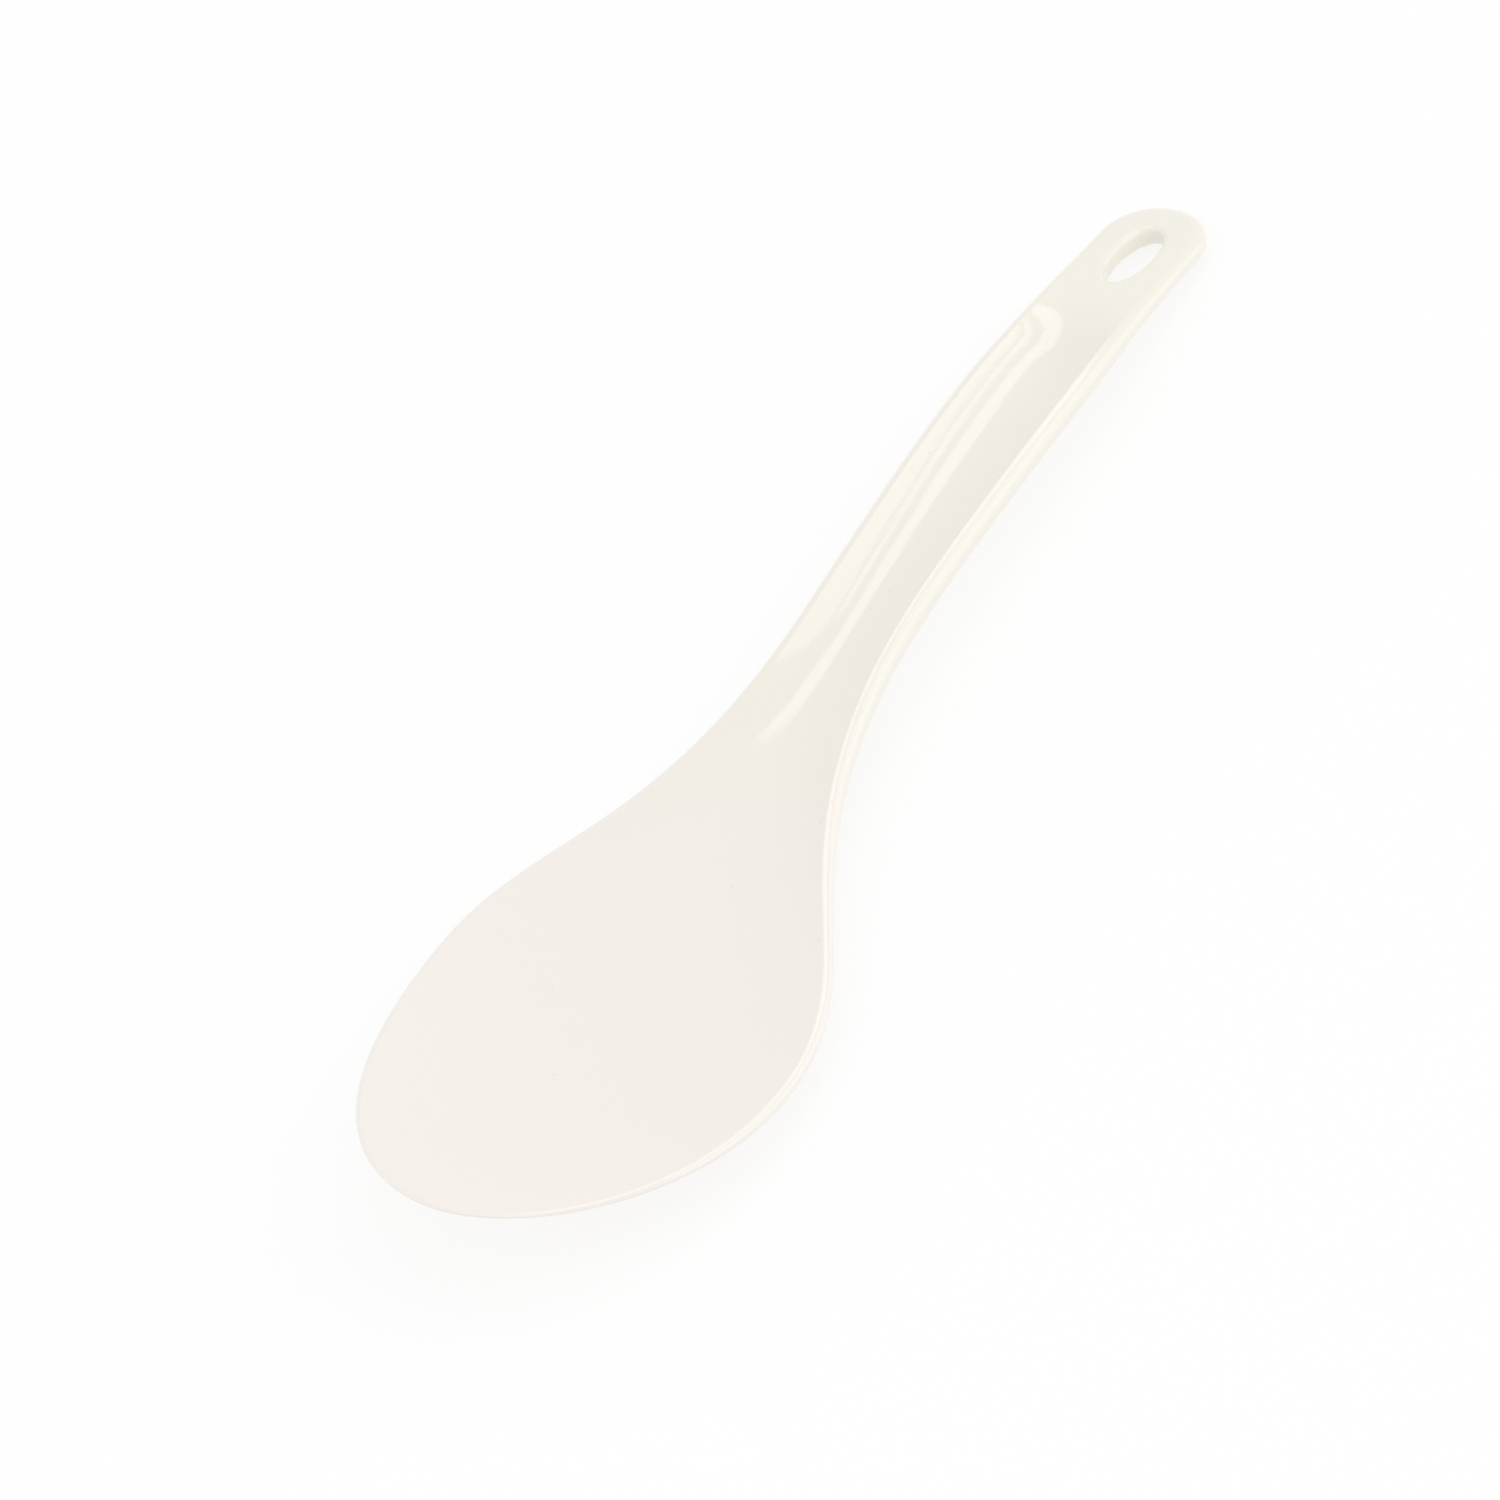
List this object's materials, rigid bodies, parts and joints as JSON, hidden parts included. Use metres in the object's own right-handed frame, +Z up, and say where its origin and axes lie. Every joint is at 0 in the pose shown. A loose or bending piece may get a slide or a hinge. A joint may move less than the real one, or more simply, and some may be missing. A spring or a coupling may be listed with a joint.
{
  "type": "rice paddle",
  "caption": "Moulded rice paddle in glossy ivory plastic: broad dished blade, arched handle with a trough along its face, and a flat tab with an oval hanging hole.",
  "frame": {"origin": "on the table, under the middle of the paddle's length and width, with the paddle lying face up", "axes": "+X along the paddle from the blade's tip to the end of the handle, +Y across the paddle, +Z up out of the dished face"},
  "size_m": [0.21, 0.067, 0.0178],
  "materials": {
    "ivory_melamine": "high gloss, as moulded"
  },
  "bodies": {
    "root": {"paddle": "ivory_melamine"}
  },
  "joints": []
}
